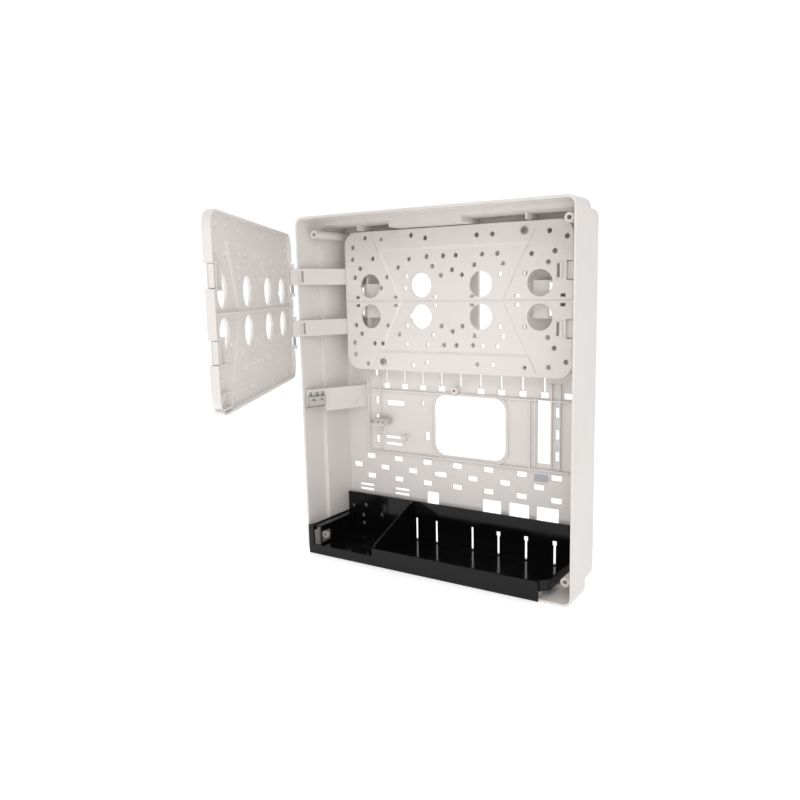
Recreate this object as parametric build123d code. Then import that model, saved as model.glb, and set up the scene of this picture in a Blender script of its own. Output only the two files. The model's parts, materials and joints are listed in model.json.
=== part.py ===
from build123d import *

import math
import os

# Surface-mount hinged-plate enclosure, cover taken off, standing on its lower edge.
# Millimetres.  X runs right, Y runs back into the box, Z runs up.  The origin is the
# middle of the lower edge's footprint, halfway through the depth of the back box.
# "Depth" below is measured back from the front rim.

# ---------------------------------------------------------------- driving dimensions
WIDTH = 324.0                 # outside, at the rim
HEIGHT = 382.0
DEPTH = 78.0                  # back box alone, without its cover
WALL = 2.6
BACK = 3.0                    # back wall thickness
BAND = 35.6                   # depth of the full-size front band
STEP = 5.0                    # how far the rear section is set in on every side
CORNER = 9.0                  # outside corner radius of the rim
DRAFT = 1.5                   # degrees, rear section walls

FEET_X = (-110.0, 0.0, 110.0) # feet under the stepped-in rear section

BOSS_X = 148.9                # cover screw bosses, from the middle
BOSS_INSET = 18.3             # and from the top and the bottom edge
BOSS_FACE = 15.0              # depth at which their faces lie
BOSS_R = 4.6
BOSS_HOLE_R = 2.1
WALL_HOLE_R = 2.5             # wall-fixing holes

PLATE_W = 276.0               # the two mounting plates are one moulding used twice
PLATE_H = 155.6
PLATE_Z = 289.2               # height of their middle line
PLATE_T = 2.5
PLATE_RIM = 7.0               # depth of the turned edge, face included
PLATE_RIM_T = 2.0
PLATE_R = 15.0
PANEL_DROP = 1.5              # the six-sided middle panel lies this much deeper
INNER_FACE = 56.0             # depth of the inner plate's face
FIX_X, FIX_Z = 87.0, 68.3     # plate fixing holes, from the plate's middle

PANEL_SLOPE = 2.6             # width of the slope down to the middle panel
CATCH_X = 123.0               # cable-clip slots by the free edge
NOTCH_DEEP = 6.8              # notches in the free edge, opposite the hinge arms
TONGUE_DEPTH = 3.0            # a springy tongue fills each notch from here back

HINGE_X = -161.0              # hinge line of the outer plate
HINGE_DEPTH = -9.7
SAG = 4.2                     # the outer plate hangs this much lower, its lugs on the arms
HINGE_IN, HINGE_UNDER = 0.8, 7.0   # hinge line from the plate's edge and from its face
OPEN_ANGLE = 60.2             # outer plate, swung open
ARM_Z = (28.5, -28.5)         # hinge arms, from the plate's middle
ARM_W = 18.0
ARM_T = 2.6
PIN_R = 1.5
KNUCKLE_R = 2.8
LUG_H = 4.0
LUG_GAP = 0.5
NOTCH_H = ARM_W + 2 * LUG_GAP
HINGE_NOTCH_H = NOTCH_H + 2 * SAG      # the hinge side leaves room for the sag either way

TRAY_LEFT, TRAY_RIGHT = -152.8, 136.0
TRAY_WALL_X = -143.5          # left wall, inboard of the corner boss
TRAY_LIP_END = 128.0
TRAY_LIP_STEP = -69.0         # left of here the lip is low
TRAY_END = -158.5             # the lip's left end
TRAY_SLOTS = (-54.2, -27.6, 19.0, 51.2, 84.0, 116.6)    # upright strap slots in its back wall
PARTITION_X = (-67.5, -58.0)  # its front end and its back end
TRAY_FLOOR = 9.5              # underside
TRAY_T = 2.0
TRAY_BACK = 68.0              # depth of the tray's back wall
TRAY_BACK_TOP = 58.0
TRAY_SIDE_TOP = 34.0
TRAY_LIP_TOP = 20.5
LIP_T = 2.2

SWITCH = (20.0, 6.4, 10.0)    # both tamper switches: length, thickness, height
PLUNGER_X, PLUNGER_W, PLUNGER_T = -3.0, 2.4, 2.0
PLUNGER_OUT = 1.55            # how far the button stands out of the switch
LEVER_X, LEVER_END = 8.0, -12.0    # the lever's pivot, and where its nose begins
LEVER_W, LEVER_T = 3.6, 0.6
BAR_FRONT = (-158.0, 1.5)     # ends of the tamper bracket: x and depth
BAR_BACK = (-123.4, 75.0)
BAR_Z = (165.0, 191.0)
BAR_T = 2.4
SWITCH_END = 24.0             # the bracket is narrow over the switch, up to here
WALL_SWITCH = (-100.4, 71.5, 149.6)    # underside of the wall switch: x, depth, z


# ---------------------------------------------------------------- helpers
def at_depth(depth):
    """A drawing plane facing the front at the given depth: local x is X, local y is Z."""
    return Plane(origin=(0, depth - DEPTH / 2, 0), x_dir=(1, 0, 0), z_dir=(0, -1, 0))


def slab(sketch, front, back, taper=0.0):
    """The sketch, drawn in X and Z, as a solid between two depths."""
    return extrude(at_depth(front) * sketch, amount=front - back, taper=taper)


def block(x0, x1, front, back, z0, z1):
    """A plain block given by its six faces."""
    centre = ((x0 + x1) / 2, (front + back) / 2 - DEPTH / 2, (z0 + z1) / 2)
    return Pos(*centre) * Box(x1 - x0, back - front, z1 - z0)


def rod(x, z, radius, front, back):
    """A round bar running front to back."""
    return slab(Pos(x, z) * Circle(radius), front, back)


def post(x, depth, radius, z0, z1):
    """A round bar standing upright."""
    return Pos(x, depth - DEPTH / 2, (z0 + z1) / 2) * Cylinder(radius, z1 - z0)


def rects(places, w, h):
    """Equal rectangles at several places of a drawing plane."""
    return Sketch() + [Pos(x, z) * Rectangle(w, h) for x, z in places]


def rounds(places, radius):
    """Equal circles at several places of a drawing plane."""
    return Sketch() + [Pos(x, z) * Circle(radius) for x, z in places]


def span(x0, x1, z0, z1, radius=0.0):
    """A rectangle given by its edges, with rounded corners where a radius is given."""
    shape = RectangleRounded(x1 - x0, z1 - z0, radius) if radius else Rectangle(x1 - x0, z1 - z0)
    return Pos((x0 + x1) / 2, (z0 + z1) / 2) * shape


def save(name, shape):
    """Writes one piece, or a group of like pieces, to its own file."""
    solids = shape.solids() if hasattr(shape, "solids") else shape
    export_step(Compound(children=list(solids)) if len(solids) > 1 else solids[0], f"parts/{name}.step")


# ---------------------------------------------------------------- back box
PITCH = 39.6                  # punched grid above the tray
GRID_X = 115.0
GRID_Z = (104.0, 91.8, 79.6)


def shell():
    """Front band, stepped-in rear section and the hollow inside both."""
    middle = Pos(0, HEIGHT / 2)
    band = slab(middle * RectangleRounded(WIDTH, HEIGHT, CORNER), 0, BAND)
    rear_w, rear_h = WIDTH - 2 * STEP, HEIGHT - 2 * STEP
    rear = slab(middle * RectangleRounded(rear_w, rear_h, CORNER), BAND - 1, DEPTH, taper=DRAFT)
    rear = fillet(rear.faces().sort_by(Axis.Y)[-1].edges(), 4.0)
    hollow_band = middle * RectangleRounded(WIDTH - 2 * WALL, HEIGHT - 2 * WALL, CORNER - WALL)
    hollow_rear = middle * RectangleRounded(rear_w - 2 * WALL, rear_h - 2 * WALL, CORNER - WALL)
    box = band + rear - slab(hollow_band, -1, BAND - WALL)
    return box - slab(hollow_rear, BAND - WALL - 1, DEPTH - BACK, taper=DRAFT)


def boss_places():
    return [(sx * BOSS_X, z) for sx in (-1, 1) for z in (BOSS_INSET, HEIGHT - BOSS_INSET)]


def bosses():
    """Cover screw bosses with their webs, and the posts that carry the inner plate."""
    inside = DEPTH - BACK + 0.5
    parts = [rod(x, z, BOSS_R, BOSS_FACE, inside) for x, z in boss_places()]
    for x, z in boss_places():
        side = math.copysign(1, x)
        wall_x = side * (WIDTH / 2 - STEP - WALL / 2)
        parts.append(block(min(x, wall_x), max(x, wall_x), BAND, inside, z - 1, z + 1))
    for x, z in plate_fixings():
        parts.append(rod(x, z + PLATE_Z, 4.0, INNER_FACE + PLATE_T, inside))
    return parts


def grid_places():
    """The staggered grid of small openings over the tray."""
    straight = [GRID_X - PITCH * k for k in range(7)]
    offset = [GRID_X - PITCH / 2 - PITCH * k for k in range(7)]
    rows = ((GRID_Z[0], straight), (GRID_Z[1], offset), (GRID_Z[2], straight))
    return [(x, z) for z, row in rows for x in row]


def back_openings():
    """Everything punched through the back wall, drawn in X and Z."""
    tee = [2.0 + 24.8 * k for k in range(-4, 5)]
    cuts = [
        span(-75, -26.5, 213, 322, 4),             # cable windows behind the plates
        span(25, 79.5, 213, 325, 4),
        span(-32.5, 56.8, 115, 184, 14),           # large cable window
        span(93.3, 108.9, 118, 186, 1),            # tall slot beside it
        rects([(x, 202) for x in tee], 3.0, 15),   # tee slots for clip-on rails
        rects([(x, 191) for x in tee + [127.0] if abs(x - 2) > 1], 9.5, 6.3),
        rects([(115.5, z) for z in (173.3, 150.3, 127.2)], 4.4, 10.2),
        rects([(-111.6, z) for z in (206.5, 172.8, 151, 126)], 5.2, 9.0),
        span(-98.6, -72.6, 167.5, 173.8, 3.0),     # hand-hold for pulling cables
        rects([(-47.9, 172.8)], 3.6, 5.4),
        rects([(-42.0, 134.8)], 6.4, 9.6),
        rects([(-89, 129.6), (-89, 121.6)], 24.0, 3.4),
        rects(grid_places(), 12.4, 6.2),
        rects([(-130, 67.5), (-130, 62), (-79, 67.5), (-79, 62)], 21.0, 3.2),
        span(-44, -28, 46, 70), span(28, 51.3, 46, 70.5),
        span(60.4, 84.6, 46, 71), span(92.6, 118.2, 46, 71),
        rects([(-123.3, 301.0), (-123.3, 277.7), (112.8, 302.7), (112.8, 276.2)], 8.2, 8.2),
        rounds([(-31.6, 91.8)], 3.0),
        rects([(x - 4.5, 24.3) for x in TRAY_SLOTS], 10.0, 27.5),   # behind the tray's slots
        rounds([(sx * 130.0, z) for sx in (-1, 1) for z in (44.0, 344.0)], WALL_HOLE_R),
    ]
    return Sketch() + cuts


def back_ribs():
    """Low ribs and guides standing on the inside of the back wall."""
    inside = DEPTH - BACK + 0.5
    guides = [
        (84.6, 86.6, 3, 110.6, 187), (91.0, 92.6, 4, 110.6, 187),
        (109.6, 111.0, 4, 113.5, 203), (119.0, 120.4, 4, 113.5, 203),
        (-121.6, -119.8, 6, 113.5, 196.3), (-105.6, -104.2, 4, 113.5, 140),
        (-105.6, -104.2, 4, 158, 203),
    ]
    parts = [block(x0, x1, inside - h, inside, z0, z1) for x0, x1, h, z0, z1 in guides]
    parts += [block(-118, 130, inside - 4, inside, z - 0.8, z + 0.8) for z in (185.6, 111.6)]
    parts += [rod(-1.8, 190.8, 4.0, inside - 9, inside), rod(-71.5, 131, 3.4, inside - 7, inside)]
    shelf = WALL_SWITCH[2] - SWITCH[1] / 2          # carries the wall tamper switch
    parts.append(block(-113, -93.5, WALL_SWITCH[1] - 9, inside, shelf - 1.6, shelf))
    outline = span(-36.5, 60.8, 111.2, 187.8, 17) - span(-34.3, 58.6, 113.2, 185.8, 15)
    parts.append(slab(outline, inside - 2.4, inside))
    return parts


def top_channel():
    """The shallow cable channel hung under the roof, open at its left end, and two wedges."""
    roof = HEIGHT - STEP - WALL + 0.5
    inside = DEPTH - BACK + 0.5
    under = PLATE_Z + PLATE_H / 2 + 0.8
    step_face = BAND - WALL
    parts = [block(-60, 28, step_face, inside, under, under + 2.2)]
    parts += [block(-60, 28, step_face, step_face + 2.2, under, roof)]
    parts += [block(25, 27, step_face, inside, under, roof)]
    parts += [block(x, x + 2.0, 46, inside, under, roof) for x in (-112, 92)]
    return parts


def side_pads():
    """Raised pads behind the outer cable holes, hollow from the back, with a rail beside each."""
    front, skin, inside = 66.0, 2.4, DEPTH - BACK + 0.5
    pads, hollows = [], []
    for x0, x1, rail in ((-133, -96, -113.5), (92, 134, 122.5)):
        pads.append(block(x0, x1, front, inside, 270.5, 309))
        pads.append(block(rail - 0.8, rail + 0.8, front - 2, inside, 250, 330))
        hollows.append(block(x0 + skin, x1 - skin, front + skin, DEPTH + 1, 270.5 + skin, 309 - skin))
    return pads, hollows


def back_box():
    box = shell()
    pads, hollows = side_pads()
    box = box + bosses() + back_ribs() + top_channel() + pads - hollows
    box = box - slab(back_openings(), INNER_FACE + PLATE_RIM + 0.5, DEPTH + 1)
    box = box - slab(rounds(boss_places(), BOSS_HOLE_R), BOSS_FACE - 1, BOSS_FACE + 22)
    pilots = [(x, z + PLATE_Z) for x, z in plate_fixings()]
    box = box - slab(rounds(pilots, 1.6), INNER_FACE, INNER_FACE + 14)
    box = box - rod(-1.8, 190.8, 1.6, DEPTH - 14, DEPTH - 5)
    for x in (-77.2, 77.2):                         # blind latch sockets under the roof
        box = box - post(x, 28.3, 1.7, HEIGHT - WALL - 1, HEIGHT - WALL + 1.8)
    for x in FEET_X:                                # feet that level the stepped underside
        box = box + block(x - 7, x + 7, BAND - 1, DEPTH - 8, 0, STEP + WALL)
    for x in (FEET_X[0], FEET_X[-1]):               # rests that carry the tray
        box = box + block(x - 15, x + 15, 8, 26, WALL - 0.5, TRAY_FLOOR)
    return box


# ---------------------------------------------------------------- mounting plates
def plate_fixings():
    return [(sx * FIX_X, sz * FIX_Z) for sx in (-1, 1) for sz in (-1, 1)]


def mirrored(rows):
    """Places repeated above and below the plate's middle line."""
    return [(x, s * z) for z, xs in rows for x in xs for s in (-1, 1)]


def plate_small_holes():
    rows = (
        (27.0, (-124.5, -80.4, -55.2, -11.0, 14.4, 58.9, 87.5)),
        (37.0, (-117.0, -66.2, -21.7, 29.1, 62.3, 112.2)),
        (32.6, (2.6,)),
        (47.5, (-127.4, -99.0, -28.9, -8.2, 7.2, 38.5, 56.0, 119.0)),
        (61.0, (-126.3, 131.5)),
        (67.0, (-29.3, 33.0, 50.9, 113.3)),
        (70.8, (-109.0, -47.3)),
    )
    extra = [(-88.5, 14.8), (-57.0, 13.8), (26.2, 15.6), (-50.4, -16.3), (94.7, -16.3),
             (-51.5, 45.6), (94.4, 45.7), (-56.4, -47.9), (-88.3, -47.5), (26.9, -47.1)]
    return mirrored(rows) + extra


def panel_outline():
    """The six-sided middle panel: wide at top and bottom, drawn in at the middle line."""
    half_top, half_mid, half_h = 92.5, 63.7, 57.5
    right = [(half_top, half_h), (half_mid, 0), (half_top, -half_h)]
    left = [(-x, z) for x, z in reversed(right)]
    return make_face(Polyline(*right, *left, close=True))


def local_slab(sketch, front, back):
    """A solid of the plate's own frame: x and z from its middle, depth from its face."""
    plane = Plane(origin=(0, front, 0), x_dir=(1, 0, 0), z_dir=(0, -1, 0))
    return extrude(plane * sketch, amount=front - back)


def between(outer, front, inner, back):
    """A solid that runs from one outline to another between two depths of the plate."""
    ends = [Plane(origin=(0, depth, 0), x_dir=(1, 0, 0), z_dir=(0, -1, 0)) * sketch
            for sketch, depth in ((outer, front), (inner, back))]
    return loft(ends)


def catches():
    """Clip frames on the plate's back, by the free edge, and the socket in its lower corner."""
    half_w, deep = PLATE_W / 2, (PLATE_T - 0.5, PLATE_RIM)
    parts = []
    for z in ARM_Z:
        for s in (-1, 1):
            edge = z + s * (NOTCH_H / 2 + 0.7)
            parts.append(local_slab(span(108, half_w - 1, edge - 0.7, edge + 0.7), *deep))
        parts.append(local_slab(span(CATCH_X - 4.5, CATCH_X - 3, z - NOTCH_H / 2, z + NOTCH_H / 2), *deep))
    pocket = span(106, half_w - 1, -74, -60.5) - span(107.5, half_w, -72.5, -62)
    return parts + [local_slab(pocket, *deep)]


def plate_outline(inset=0.0):
    """The plate's outline, or the inside of its turned edge."""
    return RectangleRounded(PLATE_W - 2 * inset, PLATE_H - 2 * inset, PLATE_R - inset)


def notch_tongue(z):
    """What a notch in the free edge adds and takes away: a wall, and a tongue between two slits."""
    half_w, half_h, slit = PLATE_W / 2, NOTCH_H / 2, 0.7
    wall_x = half_w - NOTCH_DEEP
    add = local_slab(span(wall_x - PLATE_RIM_T, wall_x, z - half_h, z + half_h), PLATE_T - 0.5, PLATE_RIM)
    add = add + local_slab(span(wall_x - 1, half_w, z - half_h, z + half_h), TONGUE_DEPTH, TONGUE_DEPTH + 1.6)
    notch = local_slab(span(wall_x, half_w + 1, z - half_h, z + half_h), -1, TONGUE_DEPTH)
    step = span(half_w - 1, half_w + 1, z - half_h, z + half_h)
    for s in (-1, 1):
        edge = z + s * (half_h - slit / 2)
        step = step + span(wall_x, half_w + 1, edge - slit / 2, edge + slit / 2)
    return add, notch + local_slab(step, TONGUE_DEPTH - 0.5, PLATE_RIM + 1)


def plate():
    """One mounting plate about its own middle, its face at depth 0."""
    body = local_slab(plate_outline(), 0, PLATE_RIM)
    body = fillet(body.faces().sort_by(Axis.Y)[0].edges(), 0.8)
    body = body - local_slab(plate_outline(PLATE_RIM_T), PLATE_T, PLATE_RIM + 1)
    panel = panel_outline()
    grow = 0.5 * PANEL_SLOPE / PANEL_DROP
    sharp = Kind.INTERSECTION
    floor = offset(panel, -PANEL_SLOPE, kind=sharp)
    body = body + between(offset(panel, grow, kind=sharp), PLATE_T - 0.5, floor, PLATE_T + PANEL_DROP)
    body = body - between(offset(panel, grow, kind=sharp), -0.5, floor, PANEL_DROP)
    half_w, edge = PLATE_W / 2, PLATE_W / 2 - 1
    rib = Pos(0, (PLATE_T + PLATE_RIM) / 2, 0) * Box(2 * edge, PLATE_RIM - PLATE_T - 1, 1.8)
    body = body + rib + catches()
    for z in ARM_Z:
        add, take = notch_tongue(z)
        body = body + add - take
    body = body - local_slab(span(-half_w - 1, half_w + 1, -0.7, 0.7), -1, 0.5)
    body = body - local_slab(span(-60.5, 60.5, -0.7, 0.7), -1, PANEL_DROP + 0.5)
    for sz in (-1, 1):                              # creases run on to the turned edge
        for sx in (-1, 1):
            crease = Polyline((sx * 91.0, 0, sz * 54.4), (sx * 100.0, 0, sz * 73.0))
            start = Plane(crease @ 0, x_dir=(0, 1, 0), z_dir=crease % 0)
            body = body - sweep(start * Rectangle(1.4, 2.0), path=crease)
    holes = Sketch() + [
        rounds([(sx * x, sz * 17.0) for x in (36.6, 103.5) for sx in (-1, 1) for sz in (-1, 1)], 13.5),
        rounds(plate_small_holes(), 2.6),
        rounds(plate_fixings(), 2.3),
        rects([(x, s * 4.6) for x in (-121.2, -69.2, -18.5, 26.1, 78.8, 127.8) for s in (-1, 1)], 5.4, 3.2),
        rects([(CATCH_X, z) for z in ARM_Z], 3.0, 13.5),
    ]
    body = body - local_slab(holes, -1, PLATE_RIM + 1)
    for z in ARM_Z:
        body = body + Pos(CATCH_X, 0.9, z) * (Box(9.0, 3.2, 16.0) - Box(3.0, 6.0, 13.5))
        clear = PLATE_RIM - HINGE_UNDER + KNUCKLE_R + 0.3
        gap = span(-half_w - 1, -half_w + 9, z - HINGE_NOTCH_H / 2, z + HINGE_NOTCH_H / 2)
        body = body - local_slab(gap, PLATE_RIM - clear, PLATE_RIM + 1)
        for s in (-1, 1):                           # hinge lugs either side of the notch
            middle = z + s * (HINGE_NOTCH_H / 2 + LUG_H / 2)
            body = body + Pos(-half_w + HINGE_IN, HINGE_UNDER, middle) * Cylinder(KNUCKLE_R, LUG_H)
    for z in ARM_Z:
        bore = Pos(-half_w + HINGE_IN, HINGE_UNDER, z) * Cylinder(PIN_R + 0.05, HINGE_NOTCH_H + 3 * LUG_H)
        body = body - bore
    return body


def inner_plate(moulding):
    return Pos(0, INNER_FACE - DEPTH / 2, PLATE_Z) * moulding


def hinge_point():
    return (HINGE_X, HINGE_DEPTH - DEPTH / 2)


def outer_plate(moulding):
    """The same moulding on the hinge line, swung open."""
    to_hinge = Pos(PLATE_W / 2 - HINGE_IN, -HINGE_UNDER, 0) * moulding
    x, y = hinge_point()
    return Pos(x, y, PLATE_Z - SAG) * Rot(0, 0, -OPEN_ANGLE) * to_hinge


# ---------------------------------------------------------------- hinge arms and pins
def root_point():
    """The inner plate's own hinge line, where the arms are pinned to it."""
    return (-PLATE_W / 2 + HINGE_IN, INNER_FACE + HINGE_UNDER - DEPTH / 2)


def hinge_arm(offset_z):
    """A flat bar with a barrel at each end, from the inner plate out to the hinge line."""
    (x0, y0), (x1, y1) = hinge_point(), root_point()
    length = math.hypot(x1 - x0, y1 - y0)
    frame = Plane(origin=(x0, y0, PLATE_Z + offset_z), x_dir=(x1 - x0, y1 - y0, 0), z_dir=(0, 0, 1))
    inner, outer = KNUCKLE_R, KNUCKLE_R - ARM_T     # right of the front barrel, left of the rear one
    bar = Polyline((0, -outer), (length, inner), (length, outer), (0, -inner), close=True)
    arm = extrude(make_face(bar), amount=ARM_W / 2, both=True)
    for x in (0, length):
        arm = arm + Pos(x, 0, 0) * Cylinder(KNUCKLE_R, ARM_W)
    for x in (0, length):
        arm = arm - Pos(x, 0, 0) * Cylinder(PIN_R + 0.03, ARM_W + 4)
    for x in (7.5, 12.0):                           # catch windows by the front barrel
        arm = arm - Pos(x, 0, 0) * Box(3.0, 4 * KNUCKLE_R, ARM_W - 6)
    return frame * arm


def pivot_pin(place, z):
    """A plain steel pin through both lugs and one of the arm's barrels."""
    pin = Pos(*place, z) * Cylinder(PIN_R, HINGE_NOTCH_H + 2 * LUG_H)
    return chamfer(pin.edges().filter_by(GeomType.CIRCLE), 0.3)


# ---------------------------------------------------------------- screws and label
def pan_screw(x, z, face):
    """A 4 mm pan-head screw with a cross recess, driven in from the front."""
    head = rod(x, z, 3.8, face - 2.2, face)
    head = fillet(head.faces().sort_by(Axis.Y)[0].edges(), 1.0)
    recess = block(x - 2.1, x + 2.1, face - 3, face - 0.9, z - 0.45, z + 0.45)
    recess += block(x - 0.45, x + 0.45, face - 3, face - 0.9, z - 2.1, z + 2.1)
    return head + rod(x, z, 1.55, face, face + 12) - recess


def plate_screws():
    places = ((FIX_X, FIX_Z), (-FIX_X, -FIX_Z))
    return [pan_screw(x, z + PLATE_Z, INNER_FACE) for x, z in places]


def blank_label():
    inside = DEPTH - BACK
    return slab(span(90.5, 106.5, 98.5, 106.3), inside - 0.3, inside)


# ---------------------------------------------------------------- tamper switches
def switch_body():
    """A snap-action switch lying along x: terminals up, plunger and lever underneath.

    Drawn about the middle of its underside.
    """
    length, thick, tall = SWITCH
    body = Pos(0, 0, tall / 2) * Box(length, thick, tall)
    body = chamfer(body.edges().filter_by(Axis.Z), 0.5)
    pocket = Pos(PLUNGER_X, 0, 0.7) * Box(PLUNGER_W + 0.3, PLUNGER_T + 0.3, 3.4)
    notch = Pos(LEVER_X, 0, 0.4) * Box(2.2, LEVER_W + 0.6, 2.2)
    body = body - pocket - notch
    for x in (-5.0, 5.0):                           # fixing holes through the thickness
        body = body - Pos(x, 0, tall * 0.62) * Rot(90, 0, 0) * Cylinder(1.2, thick + 2)
    return body


def switch_terminals():
    blades = []
    for x in (-7.5, 0.5, 7.5):
        blade = Pos(x, 0, SWITCH[2] + 2.4) * Box(2.2, 0.5, 4.8)
        eye = Pos(x, 0, SWITCH[2] + 3.4) * Rot(90, 0, 0) * Cylinder(0.6, 3)
        blades.append(blade - eye)
    return blades


def switch_plunger():
    """The button, its stem running up into the body."""
    stem = Pos(PLUNGER_X, 0, (1.2 - PLUNGER_OUT) / 2)
    button = stem * Box(PLUNGER_W, PLUNGER_T, PLUNGER_OUT + 1.2)
    return chamfer(button.faces().sort_by(Axis.Z)[0].edges(), 0.25)


def switch_lever(nose):
    """A leaf hinged at one end of the switch; its free end is bent down to the nose."""
    leaf_z = -PLUNGER_OUT - 0.15 - LEVER_T / 2
    leaf = Pos((LEVER_X + 0.6 + LEVER_END) / 2, 0, leaf_z)
    leaf = leaf * Box(LEVER_X + 0.6 - LEVER_END, LEVER_W, LEVER_T)
    hook = Pos(LEVER_X, 0, (0.4 + leaf_z) / 2) * Box(0.8, LEVER_W, 0.4 - leaf_z)
    eye = Pos(LEVER_X, 0, 0.4) * Rot(90, 0, 0) * Cylinder(0.6, LEVER_W)
    low = leaf_z - LEVER_T / 2
    tip_x, tip_z = LEVER_END - nose[0], low - nose[1]
    profile = Polyline((LEVER_END + 0.1, low + LEVER_T), (LEVER_END - 0.3, low + LEVER_T),
                       (tip_x - 0.5, tip_z), (tip_x + 0.3, tip_z), (LEVER_END + 0.5, low), close=True)
    tip = extrude(Plane.XZ * make_face(profile), amount=LEVER_W / 2, both=True)
    return leaf + hook + eye + tip


def bracket_frame():
    """The tamper bracket's line: x runs along it from the rim to the back wall."""
    dx, dy = BAR_BACK[0] - BAR_FRONT[0], BAR_BACK[1] - BAR_FRONT[1]
    origin = (BAR_FRONT[0], BAR_FRONT[1] - DEPTH / 2, 0)
    return Plane(origin=origin, x_dir=(dx, dy, 0), z_dir=(0, 0, 1)), math.hypot(dx, dy)


def tamper_bracket():
    """A thin bar from the back wall to the rim, narrowed to a rail over the switch."""
    frame, length = bracket_frame()
    z0, z1 = BAR_Z
    middle = (z0 + z1) / 2
    bar = Pos((length - 0.6 + SWITCH_END) / 2, 0, middle) * Box(length - 0.6 - SWITCH_END, BAR_T, z1 - z0)
    rail = Pos(SWITCH_END / 2 + 1, 0, z1 - 3.5) * Box(SWITCH_END, BAR_T, 7.0)
    backing = Pos(SWITCH_END / 2 + 1, 0, z1 - 11) * Box(SWITCH_END, BAR_T / 2, 12.0)
    rib = Pos(length - 14, -BAR_T / 2 - 0.4, middle) * Rot(0, -55, 0) * Box(22, 1.2, 1.6)
    return frame * (bar + rail + backing + rib)


def cover_switch_place():
    """Upright against the bracket's backing, under the rail."""
    frame, _ = bracket_frame()
    off = -BAR_T / 4 - SWITCH[1] / 2
    return frame * Pos(SWITCH_END / 2, off, BAR_Z[1] - 17.5)


def wall_switch_place():
    """Lying on its shelf with the lever facing the back wall, terminals to the front."""
    x, depth, z = WALL_SWITCH
    return Plane(origin=(x, depth - DEPTH / 2, z), x_dir=(1, 0, 0), z_dir=(0, -1, 0))


# ---------------------------------------------------------------- tray
def tray():
    """Black transformer and battery tray: back, floor, stepped left wall and front lip."""
    floor_top = TRAY_FLOOR + TRAY_T
    back = slab(span(TRAY_LEFT, TRAY_RIGHT, TRAY_FLOOR, TRAY_BACK_TOP), TRAY_BACK, TRAY_BACK + TRAY_T)
    chamfered = Polyline((TRAY_RIGHT, TRAY_BACK + TRAY_T), (TRAY_RIGHT, 10.0), (TRAY_LIP_END, 2.0),
                         (TRAY_LIP_END, 0), (TRAY_WALL_X, 0), (TRAY_WALL_X, TRAY_BACK + TRAY_T),
                         close=True)
    level = Plane((0, -DEPTH / 2, TRAY_FLOOR))
    floor = extrude(level * make_face(chamfered), amount=TRAY_T)
    side_line = Polyline((TRAY_RIGHT, TRAY_BACK), (TRAY_RIGHT, 10.0), (TRAY_LIP_END, 2.0),
                         (TRAY_LIP_END, -LIP_T), (TRAY_LIP_END - TRAY_T, -LIP_T),
                         (TRAY_LIP_END - TRAY_T, 2.8), (TRAY_RIGHT - TRAY_T, 10.8),
                         (TRAY_RIGHT - TRAY_T, TRAY_BACK), close=True)
    right = extrude(level * make_face(side_line), amount=TRAY_LIP_TOP - TRAY_FLOOR)
    left = block(TRAY_WALL_X, TRAY_WALL_X + TRAY_T, 0, TRAY_BACK + 0.5, TRAY_FLOOR, TRAY_SIDE_TOP)
    left -= block(TRAY_WALL_X - 1, TRAY_WALL_X + 3, 1.5, 18, 14, 27)
    ledge = block(TRAY_LEFT, TRAY_WALL_X + TRAY_T, 0, TRAY_BACK + 0.5, TRAY_SIDE_TOP - 2, TRAY_SIDE_TOP)
    ledge += block(TRAY_LEFT, TRAY_LEFT + 1.6, 0, TRAY_BACK + 0.5, TRAY_SIDE_TOP, TRAY_SIDE_TOP + 1.2)
    lip = slab(span(TRAY_LIP_STEP, TRAY_LIP_END, 0.6, TRAY_LIP_TOP), -LIP_T, 0)
    lip += slab(span(TRAY_END, TRAY_LIP_STEP, 0.6, 11.5), -LIP_T, 0)
    foot = block(-150, TRAY_LIP_END, -LIP_T, 0.0, TRAY_FLOOR, 11.5)
    end_post = slab(span(TRAY_END, TRAY_END + 7, 0.6, TRAY_SIDE_TOP), -LIP_T, 0)
    end_post += block(TRAY_END + 1.5, TRAY_END + 7, -LIP_T, 5.0, TRAY_SIDE_TOP - 6, TRAY_SIDE_TOP)
    body = back + floor + right + left + ledge + lip + foot + end_post
    holes = rounds(((-146.3, 40.9), (-127.9, 43.5), (-131.7, 30.5), (-131.0, 20.9),
                    (-104.4, 34.3), (-73.1, 44.4)), 2.7)
    slots = rects([(x, 25.5) for x in TRAY_SLOTS], 3.1, 26.0)
    slots += rects([(x, 36.0) for x in TRAY_SLOTS[3:]], 5.0, 5.0)
    clear = Pos(-BOSS_X, BOSS_INSET) * Circle(BOSS_R + 0.6) + span(TRAY_LEFT - 1, -147.0, 9, 17)
    body -= slab(holes + slots + clear, TRAY_BACK - 1, TRAY_BACK + TRAY_T + 1)
    return body


def tray_partition():
    """Divider between transformer and battery: its top falls from the back to the lip."""
    floor_top = TRAY_FLOOR + TRAY_T
    front, back = (PARTITION_X[0], 0.5 - DEPTH / 2), (PARTITION_X[1], TRAY_BACK - 0.5 - DEPTH / 2)
    run = (back[0] - front[0], back[1] - front[1], 0)
    length = math.hypot(run[0], run[1])
    profile = make_face(Polyline(
        (0, floor_top), (length, floor_top), (length, TRAY_BACK_TOP - 1),
        (length - 6, TRAY_BACK_TOP - 1), (0, 23.5), close=True))
    side = Plane(origin=(*front, 0), x_dir=run, z_dir=(run[1], -run[0], 0))
    wall = extrude(side * profile, amount=1.0, both=True)
    foot = make_face(Polyline((8, 0), (length - 8, 0), (length - 8, 5.5), (8, 5.5), close=True))
    flat = Plane(origin=(*front, floor_top), x_dir=run, z_dir=(0, 0, 1))
    return wall + extrude(flat * foot, amount=1.8)


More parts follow.
